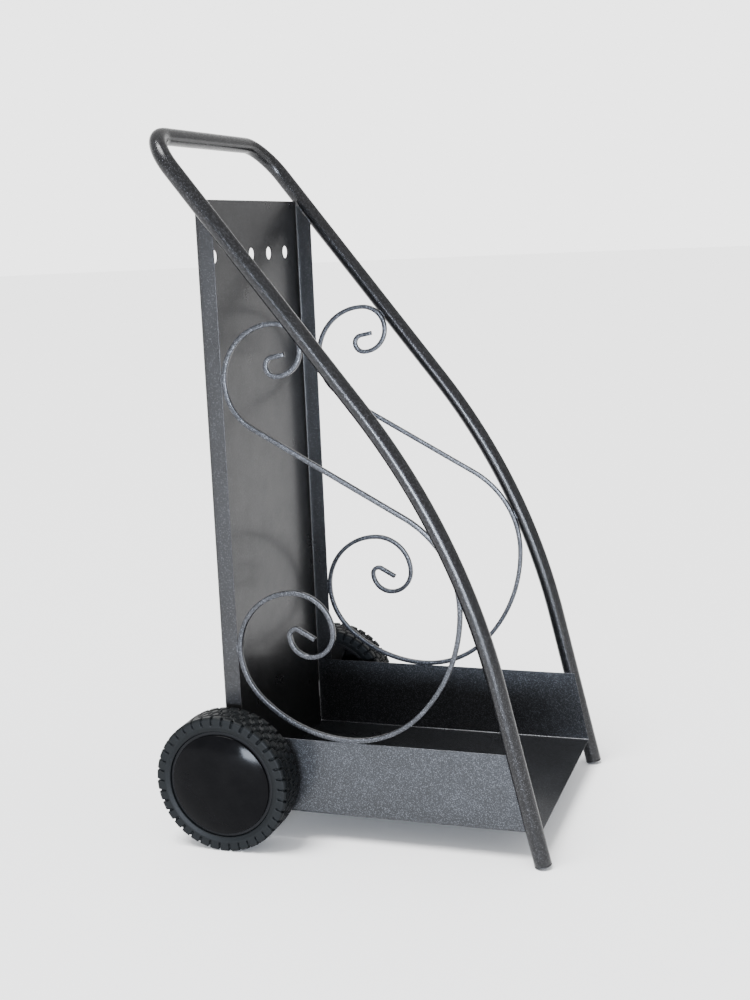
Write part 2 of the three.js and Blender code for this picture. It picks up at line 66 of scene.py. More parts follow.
# %% Sizes in millimetres
QUARTER = math.pi / 2
SEAT = 0.3  # gap between pieces that touch or are welded together
SHEET = 1.2  # thickness of panel and tray
HALF_BODY = 169.0  # from the cart's middle to the outside of the tray wall
FOLD_R = 3.0  # outer radius of each fold
PANEL_BACK_Y = 13.5  # rear face of the panel
PANEL_FRONT_Y = PANEL_BACK_Y - SHEET
PANEL_TOP_DROP = 80.0  # top edge of the panel below the hand bar's centre line
FLANGE_FRONT_Y = -10.0  # front edge of the panel's flanges
FLANGE_BELOW_TUBE = 7.0  # slanted flange end below the tube's centre line
HOLE_COUNT = 5
HOLE_R = 8.5
HOLE_PITCH = 60.0
HOLE_DROP = 71.0  # hole centres below the panel's top edge
TRAY_UNDER_Z = 38.0  # underside of the tray floor
TRAY_TOP_Z = 138.0  # top edge of the tray walls
TRAY_AHEAD = 3.6  # front edge of the tray floor, ahead of the legs' centre lines
TRAY_END_LEAN = math.radians(11)
TUBE_R = 11.0
TUBE_WALL = 1.5
TUBE_X = HALF_BODY + SEAT + TUBE_R
FOOT_Y = -409.2  # where a leg's centre line meets the floor
LEG_LEAN = math.radians(13.1)
LEG_TOP_Z = 222.7  # end of the straight leg, start of the long bend
LONG_BEND_R = 897.0
TOP_LEAN = math.radians(37.73)
TOP_LENGTH = 427.0  # from the long bend up to the hand bar's centre line
CORNER_R = 55.0  # bend beside the hand bar
BAR = 6.0  # square bar of the scrolls
SCROLL_X = HALF_BODY - SHEET / 2


def up_along(lean):
    """Unit vector (y, z) along a tube that leans back by `lean` from upright."""
    return np.array([math.sin(lean), math.cos(lean)])


def behind(lean):
    """Unit vector (y, z) square to that tube, towards the back of the cart."""
    return np.array([math.cos(lean), -math.sin(lean)])


def leg_at(z):
    """Point (y, z) of the leg's centre line at the height z."""
    return np.array([FOOT_Y + z * math.tan(LEG_LEAN), z])


BEND_CENTRE = leg_at(LEG_TOP_Z) + LONG_BEND_R * behind(LEG_LEAN)
BEND_END = BEND_CENTRE - LONG_BEND_R * behind(TOP_LEAN)
PANEL_TOP_Z = BEND_END[1] + TOP_LENGTH * math.cos(TOP_LEAN) - PANEL_TOP_DROP
print("long bend ends at", BEND_END.round(1), "panel top", round(PANEL_TOP_Z, 2))

# %% [markdown]
# ## From numbers to a mesh
# Pieces could be pushed and pulled by hand, but then no number would say why they fit. Here a
# surface is a grid of points: one parameter runs along the rows, one along the columns. The grid
# is worked out as one numpy array and handed to the mesh whole. Points that fall together, as at
# a pole or at the seam of a closed ring, are merged, and the faces are then turned outwards.

# %% Grid to object
MERGE = 2e-6  # metres within which two points become one


def grid_faces(rows, columns, wrap_rows=False, wrap_columns=True):
    """Quads of a grid: corner (i, j) joins (i + 1, j), (i + 1, j + 1) and (i, j + 1)."""
    i, j = np.meshgrid(np.arange(rows if wrap_rows else rows - 1),
                       np.arange(columns if wrap_columns else columns - 1), indexing="ij")
    i2, j2 = (i + 1) % rows, (j + 1) % columns
    quads = [i * columns + j, i2 * columns + j, i2 * columns + j2, i * columns + j2]
    return np.stack(quads, -1).reshape(-1, 4)


def make_piece(name, points, faces, material, closed=True):
    """Points in mm, with y from the axle, become an object whose place is in its mesh."""
    placed = (np.asarray(points, float) + [0, AXLE_Y, 0]) * MM
    mesh = bpy.data.meshes.new(name)
    mesh.from_pydata(placed.tolist(), [], [list(map(int, f)) for f in faces])
    bm = bmesh.new()
    bm.from_mesh(mesh)
    bmesh.ops.remove_doubles(bm, verts=bm.verts, dist=MERGE)
    loose = [v for v in bm.verts if not v.link_faces]
    bmesh.ops.delete(bm, geom=loose, context="VERTS")
    if closed:
        bmesh.ops.recalc_face_normals(bm, faces=bm.faces)
    bm.to_mesh(mesh)
    bm.free()
    mesh.polygons.foreach_set("use_smooth", [True] * len(mesh.polygons))
    mesh.materials.append(material)
    piece = bpy.data.objects.new(name, mesh)
    bpy.context.scene.collection.objects.link(piece)
    return piece


def skin(name, grid, material, wrap_rows=False, wrap_columns=True):
    """One grid of points (rows, columns, 3) as a piece."""
    rows, columns = grid.shape[:2]
    faces = grid_faces(rows, columns, wrap_rows, wrap_columns)
    return make_piece(name, grid.reshape(-1, 3), faces, material)


def dress(piece, body, slot, *nodes):
    """The piece rides on a body and stands for CAD nodes; `slot` is not used."""
    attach(piece, body)
    if nodes:
        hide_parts(*nodes)
    triangles = sum(len(p.vertices) - 2 for p in piece.data.polygons)
    print(f"{piece.name}: {triangles} triangles before modifiers")
    return piece


# %% [markdown]
# ## Colours and nodes
# Nodes could be wired by hand, but code shows which number does what. Colours are noted as sRGB
# hex, the way they are picked from a swatch, and one function turns them to the linear values
# that shaders work with. One function adds a node.

# %% Colour and node helpers


def colour(code):
    """sRGB hex to linear: c / 12.92 below 0.04045, else ((c + 0.055) / 1.055) to the power 2.4."""
    srgb = np.array([int(code[i:i + 2], 16) for i in (0, 2, 4)]) / 255
    rgb = np.where(srgb <= 0.04045, srgb / 12.92, ((srgb + 0.055) / 1.055) ** 2.4)
    return (*rgb.tolist(), 1.0)


def add(tree, kind, sockets=None, **settings):
    """Adds one node; a socket takes a value, or the output that is to be linked to it."""
    node = tree.nodes.new(kind)
    for name, value in settings.items():
        setattr(node, name, value)
    for name, value in (sockets or {}).items():
        if isinstance(value, bpy.types.NodeSocket):
            tree.links.new(value, node.inputs[name])
        else:
            node.inputs[name].default_value = value
    return node


def start_material(name):
    """An empty node material: its tree and the Object coordinates in metres."""
    material = bpy.data.materials.new(name)
    material.use_nodes = True
    tree = material.node_tree
    tree.nodes.clear()
    place = add(tree, "ShaderNodeTexCoord").outputs["Object"]
    return material, tree, place


def finish_material(tree, sockets):
    """A Principled shader with these sockets, linked to the output."""
    shader = add(tree, "ShaderNodeBsdfPrincipled", sockets)
    add(tree, "ShaderNodeOutputMaterial", {"Surface": shader.outputs["BSDF"]})


def per_mm(size):
    """Texture scale at which one cell measures `size` millimetres."""
    return 1 / (size * MM)


# %% [markdown]
# ## Hammered powder coat
# The steel is sprayed with a dark grey powder that holds metal flakes and flows into small dimples
# as it is baked. One grey with one bump would look like painted plastic. Here smoothed cells and
# a fine noise make the dimples, sharp cells in two tones make the flakes, a slow noise lets the
# gloss drift over the width of a hand, and a thin coat is the clear binder on top. The paler flake
# tone is partly the flakes' own colour and partly painted glint. Real flakes are about 0.1 mm
# across: they are drawn near 1 mm, or they would not show.

# %% Hammered coat
FLAKE_SHARE = 0.8  # size of a flake against a dimple
DUST_SHARE = 0.75  # size of the finest relief against a dimple
DIMPLE_DEPTH = 0.12  # mm
CLOUD_SIZE = 45  # mm over which the gloss drifts
METALLIC = 0.7  # flakes in a binder are less than bare metal
EDGE_TINT = "b4b4b4"  # grazing light stays grey on them
BINDER = {"Coat Weight": 0.2, "Coat Roughness": 0.18}


def hammered_coat(name, ground, flake, grain, dent, painted_glint_share, rough):
    """`ground` and `flake` are the two tones, the flake tone partly the flakes' own colour and
    partly painted glint, `grain` is the dimple size in mm, `dent` how deep it looks,
    `painted_glint_share` the share of flakes painted in the flake tone, `rough` the mean gloss."""
    material, tree, place = start_material(name)
    cells = add(tree, "ShaderNodeTexVoronoi", {"Vector": place, "Scale": per_mm(grain),
                "Smoothness": 0.7}, feature="SMOOTH_F1")
    dust = add(tree, "ShaderNodeTexNoise", {"Vector": place, "Scale": per_mm(grain * DUST_SHARE),
               "Detail": 2.0, "Roughness": 0.6})
    cloud = add(tree, "ShaderNodeTexNoise", {"Vector": place, "Scale": per_mm(CLOUD_SIZE),
                "Detail": 2.0})
    flakes = add(tree, "ShaderNodeTexVoronoi", {"Vector": place,
                 "Scale": per_mm(grain * FLAKE_SHARE)})
    # Flakes in the paler tone: partly the flakes' own colour, partly painted glint.
    flake_and_painted_glint = add(tree, "ShaderNodeMapRange", {"Value": flakes.outputs["Color"],
                "From Min": 0.7 - painted_glint_share, "From Max": 0.95 - painted_glint_share})
    tone = add(tree, "ShaderNodeMix", {0: flake_and_painted_glint.outputs["Result"], 6: colour(ground),
               7: colour(flake)}, data_type="RGBA").outputs[2]
    rougher = add(tree, "ShaderNodeMapRange", {"Value": cloud.outputs["Fac"], "From Min": 0.3,
                  "From Max": 0.7, "To Min": rough - 0.04, "To Max": rough + 0.05})
    height = add(tree, "ShaderNodeMath", {0: cells.outputs["Distance"], 1: dust.outputs["Fac"]},
                 operation="ADD")
    bump = add(tree, "ShaderNodeBump", {"Height": height.outputs["Value"], "Strength": dent,
               "Distance": DIMPLE_DEPTH * MM})
    finish_material(tree, {"Base Color": tone, "Metallic": METALLIC, **BINDER,
                    "Specular Tint": colour(EDGE_TINT), "Roughness": rougher.outputs["Result"],
                    "Normal": bump.outputs["Normal"]})
    return material


# One coat covers the whole cart: the copies below differ in tone by how light falls on each part,
# so their tones are partly painted light and shade.
# Panel and axle flanges: the flakes barely show, so the flat sheet reads as a soft dark grey.
frame_coat = hammered_coat("hammered_powder_coat", "272728", "414144", 1.3, 0.7, 0.0, 0.31)
# Tube: the smoothest coat, along which the lights run as long streaks; its darkest tones are
# painted shade.
tube_coat_painted_darker = hammered_coat("hammered_coat_painted_shade_on_tube", "1e1e1f", "48484b", 1.1, 0.8, 0.03, 0.21)
# Tray: the deepest dimples and most flakes, which sparkle on the wall that faces the light; its
# paler, bluer tones are painted light for that wall, and its extra pale flakes painted glint.
tray_coat_painted_lighter = hammered_coat("hammered_coat_painted_light_on_tray", "2b2c2e", "4d4f54", 1.1, 1.0, 0.08, 0.31)
# Scrolls: paler flakes, a painted highlight for the thin bar's faces that catch the light.
scroll_coat = hammered_coat("hammered_coat_painted_highlight_on_bar", "2b2c2f", "5e6066", 1.1, 0.9, 0.05, 0.28)
print("materials so far:", [m.name for m in (frame_coat, tube_coat_painted_darker, tray_coat_painted_lighter, scroll_coat)])

# %% [markdown]
# ## Rubber, plastics and zinc
# These are plain materials, and from afar one colour each would do. Close by, each shows two near
# tones, an uneven gloss and a slight relief. All three come from one noise whose grain is a real
# size, so that dull spots, pale spots and pits fall together as they do on a moulding. The black
# ones reflect less than the usual 4 %, which was matched to the photograph.

# %% Rubber, plastics and zinc
PIT_DEPTH = 0.1  # mm


def speckled(name, ground, other, grain, rough, spread, dent, reflect=0.5, metallic=0.0):
    """Two tones in a noise of `grain` mm, roughness `rough` give or take `spread`, `dent` the
    strength of the bump and `reflect` the specular level."""
    material, tree, place = start_material(name)
    noise = add(tree, "ShaderNodeTexNoise", {"Vector": place, "Scale": per_mm(grain),
                "Detail": 3.0, "Roughness": 0.6}).outputs["Fac"]
    mask = add(tree, "ShaderNodeMapRange", {"Value": noise, "From Min": 0.4,
               "From Max": 0.8}).outputs["Result"]
    tone = add(tree, "ShaderNodeMix", {0: mask, 6: colour(ground), 7: colour(other)},
               data_type="RGBA").outputs[2]
    roughness = add(tree, "ShaderNodeMapRange", {"Value": noise, "From Min": 0.3, "From Max": 0.7,
                    "To Min": rough - spread, "To Max": rough + spread}).outputs["Result"]
    bump = add(tree, "ShaderNodeBump", {"Height": noise, "Strength": dent,
               "Distance": PIT_DEPTH * MM}).outputs["Normal"]
    finish_material(tree, {"Base Color": tone, "Metallic": metallic, "Roughness": roughness,
                    "Specular IOR Level": reflect, "Normal": bump})
    return material


# Tyre: cured rubber, matt and black with a faint bluish bloom.
rubber = speckled("moulded_rubber", "050708", "0d1013", 1.2, 0.5, 0.08, 0.3, 0.12)
# Hub cap: polished moulding that mirrors the room, a little wavy where the wall shrank.
cap_gloss = speckled("polished_plastic", "050506", "080809", 28, 0.13, 0.03, 0.12, 0.045)
# Wheel rim: the same plastic from an unpolished mould, so that it stays dull behind the cap.
rim_plastic = speckled("moulded_plastic", "09090a", "101012", 2.0, 0.5, 0.06, 0.2, 0.1)
# Foot plugs: soft plastic, scuffed to a dark grey on the hearth.
plug_plastic = speckled("plug_plastic", "101012", "19191b", 1.5, 0.5, 0.06, 0.25)
# Bushes: moulded nylon, a waxy charcoal.
nylon = speckled("nylon_bush", "232325", "2e2e30", 1.5, 0.5, 0.05, 0.15)
# Washers and nuts: bright zinc plate, a metal with a slightly milky shine.
zinc = speckled("zinc_plated_steel", "a7abae", "c6c9cb", 2.5, 0.3, 0.06, 0.15, metallic=1.0)
print("and:", [m.name for m in (rubber, cap_gloss, rim_plastic, plug_plastic, nylon, zinc)])

# %% [markdown]
# ## Bent paths
# Tube and scrolls could be curves with handles, but a bender works with lengths and radii. So
# they are drawn as the bender would: straight so far, then round so far on such a radius. The pen
# keeps its place and its heading in side view, so each stretch starts where the last one ended
# and no corner shows.

# %% Side-view pen
STEPS_PER_RADIAN = 12  # on a tight bend, where the step length would leave corners


def trace(start, heading, moves, step):
    """Points (y, z) and headings of a pen. A move (None, length) goes straight; (radius, turn)
    goes round a centre that lies one radius to the left, or to the right for a negative turn."""
    points, headings = [np.array([start], float)], [np.array([heading], float)]
    for radius, amount in moves:
        here, now = points[-1][-1], headings[-1][-1]
        if radius is None:
            share = np.linspace(0, 1, max(1, math.ceil(amount / step)) + 1)[1:, None]
            points.append(here + share * amount * np.array([math.cos(now), math.sin(now)]))
            headings.append(np.full(len(share), now))
            continue
        count = max(2, math.ceil(abs(amount) * max(radius / step, STEPS_PER_RADIAN)))
        turned = now + np.linspace(0, amount, count + 1)[1:]
        side = math.copysign(radius, amount)
        centre = here + side * np.array([-math.sin(now), math.cos(now)])
        points.append(centre - side * np.stack([-np.sin(turned), np.cos(turned)], -1))
        headings.append(turned)
    return np.concatenate(points), np.concatenate(headings)


def carry(profile, centres, first, second):
    """Point (i, j) = centre i + profile x times its first axis + profile y times its second."""
    return (centres[:, None] + profile[None, :, :1] * first[:, None]
            + profile[None, :, 1:] * second[:, None])


# %% [markdown]
# ## Handle tube
# One steel tube, 22 mm across, runs from foot to foot: leg, long bend, straight, corner, hand bar
# and back. A bevelled curve would be quicker, but it has no bore. Here the surface runs out along
# the outside, turns in over the cut edge and comes back along the bore, as one closed ring.

# %% Handle tube
PLUG_RIM = 2.0  # plug below the end of the tube
PLUG_START = TUBE_R * math.tan(LEG_LEAN)
TUBE_START = PLUG_START + PLUG_RIM + SEAT
TUBE_SIDES = 40
TUBE_STEP = 12  # mm between stations
CORNER_STEPS = 24
CUT_EASE = 0.35  # mm by which the cut edge is eased


def handle_line():
    """Centres, directions and `behind` vectors of half the tube, then of the mirrored half."""
    foot = leg_at(0) + TUBE_START * up_along(LEG_LEAN)
    leg = np.linalg.norm(leg_at(LEG_TOP_Z) - foot)
    moves = [(None, leg), (LONG_BEND_R, LEG_LEAN - TOP_LEAN), (None, TOP_LENGTH - CORNER_R)]
    flat, heading = trace(foot, QUARTER - LEG_LEAN, moves, TUBE_STEP)
    centres = np.insert(flat, 0, -TUBE_X, axis=1)
    along = np.stack([0 * heading, np.cos(heading), np.sin(heading)], -1)
    back = np.stack([0 * heading, np.sin(heading), -np.cos(heading)], -1)
    turn = np.linspace(0, QUARTER, CORNER_STEPS + 1)[1:, None]
    across, up = np.array([1.0, 0, 0]), along[-1]
    middle = centres[-1] + CORNER_R * across
    corner = middle + CORNER_R * (np.sin(turn) * up - np.cos(turn) * across)
    centres = np.concatenate([centres, corner])
    along = np.concatenate([along, np.sin(turn) * across + np.cos(turn) * up])
    back = np.concatenate([back, np.repeat(back[-1:], len(turn), 0)])
    flip = np.array([-1, 1, 1])
    return (np.concatenate([centres, (centres * flip)[::-1]]),
            np.concatenate([along, (-along * flip)[::-1]]),
            np.concatenate([back, back[::-1]]))


def round_profile(radius):
    """Points (radius cos a, radius sin a) on a circle."""
    angle = np.linspace(0, 2 * math.pi, TUBE_SIDES, endpoint=False)
    return radius * np.stack([np.cos(angle), np.sin(angle)], -1)


centres, along, back = handle_line()
aside = np.cross(along, back)
outer = carry(round_profile(TUBE_R), centres, back, aside)
lip = carry(round_profile(TUBE_R - CUT_EASE), centres[[0, -1]], back[[0, -1]], aside[[0, -1]])
inner = carry(round_profile(TUBE_R - TUBE_WALL), centres, back, aside)
eased = CUT_EASE * along
outer[0], outer[-1] = outer[0] + eased[0], outer[-1] - eased[-1]
grid = np.concatenate([lip[:1], outer, lip[1:], inner[::-1]])
# The tube takes the coat whose darkest tones are painted shade.
dress(skin("bent_tube", grid, tube_coat_painted_darker, wrap_rows=True), "frame", "frame_coat", "handle_tube")
print("hand bar at z", round(float(centres[:, 2].max()), 1))

# %% [markdown]
# ## Turned pieces with soft edges
# Foot plugs, stub axles, washers, rims and caps are outlines turned about an axis. Real edges are
# never knife-sharp. A Bevel on each piece could ease them, but arcs put into the outline cost
# fewer faces and allow a radius of its own at each corner.

# %% Turning


def soften(outline, radii, steps=3):
    """Each corner becomes the arc that touches both its sides; the arc's centre lies on the
    corner's bisector, radius / sin(half angle) away."""
    points, rounded = np.array(outline, float), []
    for i, (corner, radius) in enumerate(zip(points, np.broadcast_to(radii, len(points)))):
        if radius == 0:
            rounded.append(corner[None])
            continue
        one = points[i - 1] - corner
        two = points[(i + 1) % len(points)] - corner
        one, two = one / np.linalg.norm(one), two / np.linalg.norm(two)
        half = math.acos(np.clip(one @ two, -1, 1)) / 2
        middle = corner + (one + two) / np.linalg.norm(one + two) * radius / math.sin(half)
        start, end = (corner + side * radius / math.tan(half) - middle for side in (one, two))
        sweep = math.pi - 2 * half
        share = np.linspace(0, 1, steps + 1)[:, None]
        rounded.append(middle + (np.sin((1 - share) * sweep) * start
                       + np.sin(share * sweep) * end) / math.sin(sweep))
    return np.concatenate(rounded)


def turn(outline, sides):
    """Outline points (radius, height) to a grid (x, y, height) round the axis."""
    angle = np.linspace(0, 2 * math.pi, sides, endpoint=False)
    radius, height = outline[:, :1], outline[:, 1:]
    return np.stack([radius * np.cos(angle), radius * np.sin(angle),
                     np.repeat(height, sides, 1)], -1)


def stand(grid, origin, axis_x, axis_y, axis_z):
    """Places a grid that was made about Z: origin + x, y and z times three axes."""
    return np.asarray(origin, float) + grid @ np.array([axis_x, axis_y, axis_z], float)


def at_wheel(grid, side):
    """Height becomes distance from the cart's middle plane, outwards on that side."""
    return stand(grid, (0, 0, AXLE_Z), (0, 1, 0), (0, 0, 1), (side, 0, 0))


# %% Foot plugs
PLUG_TOP, PLUG_TAPER = 16.0, 1.5
shank = TUBE_R - TUBE_WALL - SEAT
plug_outline = soften([[0, 0], [TUBE_R, 0], [TUBE_R, PLUG_RIM], [shank, PLUG_RIM],
                       [shank, PLUG_TOP - PLUG_TAPER], [shank - PLUG_TAPER, PLUG_TOP],
                       [0, PLUG_TOP]], [0, 0.8, 0.4, 0, 0, 0, 0])
foot = leg_at(0) + PLUG_START * up_along(LEG_LEAN)
lean, square = up_along(LEG_LEAN), behind(LEG_LEAN)
for name, side in (("left", -1), ("right", 1)):
    grid = stand(turn(plug_outline, 48), (side * TUBE_X, *foot), (1, 0, 0), (0, *square),
                 (0, *lean))
    dress(skin(f"end_plug_{name}", grid, plug_plastic), "frame", "plug_plastic",
          f"foot_plug_{name}")

# %% [markdown]
# ## Folded sheet
# Tray and back panel are 1.2 mm sheet, folded on a press with a 3 mm outer radius. Boxes would
# need their corners cut and joined. Instead, each is one surface through the middle of the sheet:
# Solidify gives it its thickness to both sides, and a narrow Bevel rounds the cut edges, which
# then catch the light as a bright line.

# %% Sheet helpers
MID = SHEET / 2
FOLD_MID = FOLD_R - MID
CUT_BEVEL = 0.5  # mm, on edges sharper than CUT_ANGLE
CUT_ANGLE = math.radians(50)


def channel_line(depth, fold_steps=6, flat_steps=4):
    """Half a channel's middle line from its centre: (across, up) along the floor, round the fold
    and up the wall to `depth`."""
    angle = np.linspace(-QUARTER, 0, fold_steps + 1)
    centre = np.array([HALF_BODY - FOLD_R, FOLD_R])
    fold = centre + FOLD_MID * np.stack([np.cos(angle), np.sin(angle)], -1)
    wall = np.linspace(fold[-1], [HALF_BODY - MID, depth], flat_steps + 1)[1:]
    return np.concatenate([fold, wall])


def thicken(piece):
    """Solidify about the middle of the sheet, then round its cut edges."""
    solid = piece.modifiers.new("sheet", "SOLIDIFY")
    solid.thickness, solid.offset, solid.use_even_offset = SHEET * MM, 0, True
    bevel = piece.modifiers.new("edges", "BEVEL")
    bevel.width, bevel.segments, bevel.limit_method = CUT_BEVEL * MM, 2, "ANGLE"
    bevel.angle_limit, bevel.harden_normals = CUT_ANGLE, True


# %% Tray
rear_y = PANEL_FRONT_Y - SEAT
front_y = leg_at(TRAY_UNDER_Z)[0] - TRAY_AHEAD
half = channel_line(TRAY_TOP_Z - TRAY_UNDER_Z)
floor = np.linspace(0, half[0, 0], 5)[:-1]
line = np.concatenate([half[::-1] * [-1, 1], np.stack([-floor[::-1], 0 * floor + MID], -1)[:-1],
                       np.stack([floor, 0 * floor + MID], -1), half])
share = np.linspace(0, 1, 13)[:, None]
ends = front_y + line[:, 1] * math.tan(TRAY_END_LEAN)
rows_y = rear_y + share * (ends - rear_y)
grid = np.stack([np.broadcast_to(line[:, 0], rows_y.shape), rows_y,
                 np.broadcast_to(TRAY_UNDER_Z + line[:, 1], rows_y.shape)], -1)
# The tray takes the coat whose paler tones are painted light.
thicken(dress(skin("folded_tray", grid, tray_coat_painted_lighter, wrap_columns=False), "frame", "frame_coat",
              "tray"))
print("tray from y", round(float(front_y), 1), "to", round(rear_y, 1))

# %% [markdown]
# ## Back panel with its holes
# The panel is the same kind of surface, but for five round holes. A cutting modifier would leave
# long thin faces that shade badly. So each hole sits in a square cell of the grid: the cell's own
# faces are left out, and rings of points lead from its square border to the circle.

# %% Back panel: its grid
CELL = 12  # faces along one side of a hole's cell
EAR = 1.8  # mm of fold over which the slanted end rises to the straight top edge
flange = channel_line(PANEL_BACK_Y - FLANGE_FRONT_Y, flat_steps=5)
cell_reach = HOLE_COUNT * HOLE_PITCH / 2
cell_x = np.linspace(-cell_reach, cell_reach, HOLE_COUNT * CELL + 1)
line = np.concatenate([flange[::-1] * [-1, 1], np.stack([cell_x, 0 * cell_x + MID], -1), flange])
columns = len(line)
side_columns = len(flange)
line_y = PANEL_BACK_Y - line[:, 1]
hole_z = PANEL_TOP_Z - HOLE_DROP
slant = BEND_END + FLANGE_BELOW_TUBE * behind(TOP_LEAN)
slant_z = slant[1] + (line_y - slant[0]) / math.tan(TOP_LEAN)
blend = np.clip((line_y - (PANEL_FRONT_Y - EAR)) / EAR, 0, 1)
top_z = slant_z + (PANEL_TOP_Z - slant_z) * blend
band = hole_z + np.linspace(-HOLE_PITCH / 2, HOLE_PITCH / 2, CELL + 1)
low_z = np.array([TRAY_UNDER_Z, 88, TRAY_TOP_Z + SEAT, *np.linspace(240, 640, 5)])
level_z = np.repeat(np.concatenate([low_z, band])[:, None], columns, 1)
above = np.linspace(0.34, 1, 3)[:, None]
rows_z = np.concatenate([level_z, band[-1] + above * (top_z - band[-1])])
grid = np.stack([np.broadcast_to(line[:, 0], rows_z.shape), np.broadcast_to(line_y, rows_z.shape),
                 rows_z], -1)
rows = len(grid)
quads = grid_faces(rows, columns, wrap_columns=False)
row, column = quads[:, 0] // columns, quads[:, 0] % columns
below = (row < 2) & ((column < side_columns - 1) | (column >= columns - side_columns))
first_row, first_column = len(low_z), side_columns
in_cells = ((row >= first_row) & (row < first_row + CELL) & (column >= first_column)
            & (column < first_column + HOLE_COUNT * CELL))
print("panel grid", rows, "by", columns, "faces left out", int((below | in_cells).sum()))

# %% Back panel: its holes
RING_SHARES = (0.45, 0.12, 0)  # of the way from the circle to the cell's border
points, faces = [grid.reshape(-1, 3)], [quads[~below & ~in_cells]]
count = rows * columns
edge = np.arange(CELL)
loop_row = np.concatenate([0 * edge, edge, 0 * edge + CELL, CELL - edge])
loop_column = np.concatenate([edge, 0 * edge + CELL, CELL - edge, 0 * edge])
for hole in range(HOLE_COUNT):
    border = (first_row + loop_row) * columns + first_column + hole * CELL + loop_column
    square = grid.reshape(-1, 3)[border]
    middle = np.array([(hole - (HOLE_COUNT - 1) / 2) * HOLE_PITCH, square[0, 1], hole_z])
    ray = (square - middle) / np.linalg.norm(square - middle, axis=1)[:, None]
    circle = middle + HOLE_R * ray
    points += [circle + share * (square - circle) for share in RING_SHARES]
    ring_index = [border] + [count + k * len(border) + np.arange(len(border))
                             for k in range(len(RING_SHARES))]
    count += len(RING_SHARES) * len(border)
    for out, within in zip(ring_index[:-1], ring_index[1:]):
        faces.append(np.stack([out, within, np.roll(within, -1), np.roll(out, -1)], -1))
panel_piece = make_piece("folded_panel", np.concatenate(points), np.concatenate(faces), frame_coat,
                         closed=False)
thicken(dress(panel_piece, "frame", "frame_coat", "back_panel"))
print("panel: holes of", 2 * HOLE_R, "mm at z", round(hole_z, 1))

# %% [markdown]
# ## Scrolls
# Each scroll is one square bar, bent cold round a jig: an eye, a ring of growing quarter turns, a
# straight diagonal and an upper curl. A spiral formula would be shorter, but a jig has a few
# fixed radii, and the bar has to meet flange, tray and tube. So the pen draws it, as in the CAD
# source: the ring takes the size at which it touches the tube's long bend, and the diagonal is
# the common tangent of ring and curl.

# %% Scroll line: the ring's size
EIGHTH = QUARTER / 2
SCROLL_STEP = 4  # mm between stations
half_bar = BAR / 2
bar_rear_y = FLANGE_FRONT_Y - SEAT - half_bar
bar_rest_z = TRAY_TOP_Z + SEAT + half_bar
to_tube = math.sqrt((TUBE_R + SEAT) ** 2 - (TUBE_X - SCROLL_X - half_bar) ** 2) + half_bar
RING = [90, 169, 130, 198]  # eighth turns: down the flange, under, and up at the front
RING_TOP = 130  # from there along the tube to the diagonal
rear_rise = RING[0] * math.cos(EIGHTH) + RING[1] * (1 - math.cos(EIGHTH))


def ring_from(rear, size):
    """Four eighth turns from the ring's rearmost point, down, under and up at the front."""
    return trace(rear, -QUARTER, [(size * radius, -EIGHTH) for radius in RING], SCROLL_STEP)


corner = np.array([bar_rear_y, bar_rest_z]) - BEND_CENTRE
drawn, headings = ring_from((0, rear_rise), 1)
to_right = np.array([math.sin(headings[-1]), -math.cos(headings[-1])])
to_centre = drawn[-1] + RING_TOP * to_right
offset = LONG_BEND_R - to_tube
squared = to_centre @ to_centre - RING_TOP ** 2
linear = corner @ to_centre + offset * RING_TOP
size = (math.sqrt(linear ** 2 - squared * (corner @ corner - offset ** 2)) - linear) / squared
top_r, top_centre = size * RING_TOP, corner + BEND_CENTRE + size * to_centre
rear_point = np.array([bar_rear_y, bar_rest_z + size * rear_rise])
ring, heading = ring_from(rear_point, size)
print("ring size", round(size, 4))

# %% Scroll line: curl, diagonal and eye
CURL = [68, 71, 32, 33, 13]  # quarter turns of the upper curl, inwards
CURL_END = [(11, math.radians(79)), (None, 17)]
RING_INWARDS = [78, 51, 32, 27]  # quarter turns from the flange to the eye
EYE_END = [(9, math.radians(119)), (None, 24)]
slope = behind(TOP_LEAN)
reach = CURL[2] + to_tube - (bar_rear_y - CURL[1] - BEND_END[0]) * slope[0]
curl_z = BEND_END[1] + reach / slope[1] - CURL[1] + CURL[2]
between = np.array([bar_rear_y - CURL[0], curl_z]) - top_centre
gap = math.hypot(*between)
diagonal = math.atan2(between[1], between[0]) - math.asin((top_r + CURL[0]) / gap)
outer_moves = [(top_r, diagonal - heading[-1] - 2 * math.pi),
               (None, math.sqrt(gap ** 2 - (top_r + CURL[0]) ** 2)),
               (CURL[0], QUARTER - diagonal)] + [(radius, QUARTER) for radius in CURL[1:]]
top, top_heading = trace(ring[-1], heading[-1], outer_moves + CURL_END, SCROLL_STEP)
eye_moves = [(size * radius, QUARTER) for radius in RING_INWARDS]
eye, eye_heading = trace(rear_point, QUARTER, eye_moves + EYE_END, SCROLL_STEP)
scroll_line = np.concatenate([eye[:0:-1], ring, top[1:]])
scroll_heading = np.concatenate([eye_heading[:0:-1] + math.pi, heading, top_heading[1:]])
bar_length = np.linalg.norm(np.diff(scroll_line, axis=0), axis=1).sum()
print("bar length mm", round(float(bar_length)), "stations", len(scroll_line))

